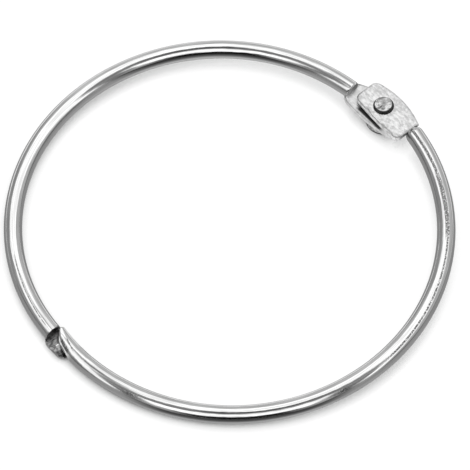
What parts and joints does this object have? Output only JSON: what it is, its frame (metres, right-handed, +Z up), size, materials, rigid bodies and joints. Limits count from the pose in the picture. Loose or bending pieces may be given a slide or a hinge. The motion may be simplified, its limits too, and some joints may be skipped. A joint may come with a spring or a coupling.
{
  "type": "shower curtain ring",
  "caption": "Hinged snap ring of polished plated wire that swings open on a riveted lap and closes with a hooked clasp, to hang a curtain's eyelet from a rod.",
  "frame": {"origin": "middle of the ring's eye, at half the wire's height", "axes": "+X from the clasp to the hinge, +Y to the lower half, +Z up along the hinge rivet to its hammered tail"},
  "size_m": [0.0754, 0.0756, 0.0051],
  "materials": {
    "polished_wire": "bright plated steel wire, with satin pressed leaves at the hinge",
    "rivet": "plated steel, hammered at the tail"
  },
  "bodies": {
    "lower_half": {"lower_half": "polished_wire", "hinge_rivet": "rivet"},
    "upper_half": {"upper_half": "polished_wire"}
  },
  "joints": [
    {"name": "hinge_swing", "type": "hinge", "parent": "lower_half", "child": "upper_half", "pos_m": [0.0349, -0.00038, 0], "axis": [0, 0, 1], "range_deg": [0, 150]}
  ]
}
